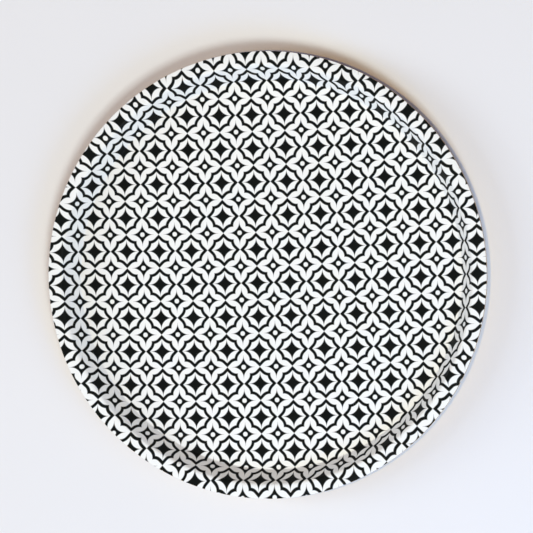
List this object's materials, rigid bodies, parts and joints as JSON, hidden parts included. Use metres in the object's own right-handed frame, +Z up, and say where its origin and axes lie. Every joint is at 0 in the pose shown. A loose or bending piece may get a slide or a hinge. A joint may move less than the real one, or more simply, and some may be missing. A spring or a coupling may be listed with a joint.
{
  "type": "round serving tray",
  "caption": "Round serving tray of moulded birch plywood with a flat floor, a sloping raised wall and a wide flat lip, faced with a black and white geometric print.",
  "frame": {"origin": "centre of the flat underside, where the tray rests on a table", "axes": "+Z up out of the serving surface, which is the tray's axis of symmetry; +X and +Y lie across it, with +X along the rows of the print"},
  "size_m": [0.38, 0.38, 0.0223],
  "materials": {
    "printed_sheet": "satin melamine over a black and white print",
    "birch_veneer_along": "lacquered birch, long grain",
    "birch_veneer_across": "lacquered birch, cross grain",
    "backing_sheet": "clear satin melamine overlay, through which the birch grain of the back veneer shows"
  },
  "bodies": {
    "root": {"printed_sheet": "printed_sheet", "face_veneer": "birch_veneer_along", "upper_cross_veneer": "birch_veneer_across", "upper_long_veneer": "birch_veneer_along", "core_cross_veneer": "birch_veneer_across", "lower_long_veneer": "birch_veneer_along", "lower_cross_veneer": "birch_veneer_across", "back_veneer": "birch_veneer_along", "backing_sheet": "backing_sheet"}
  },
  "joints": []
}
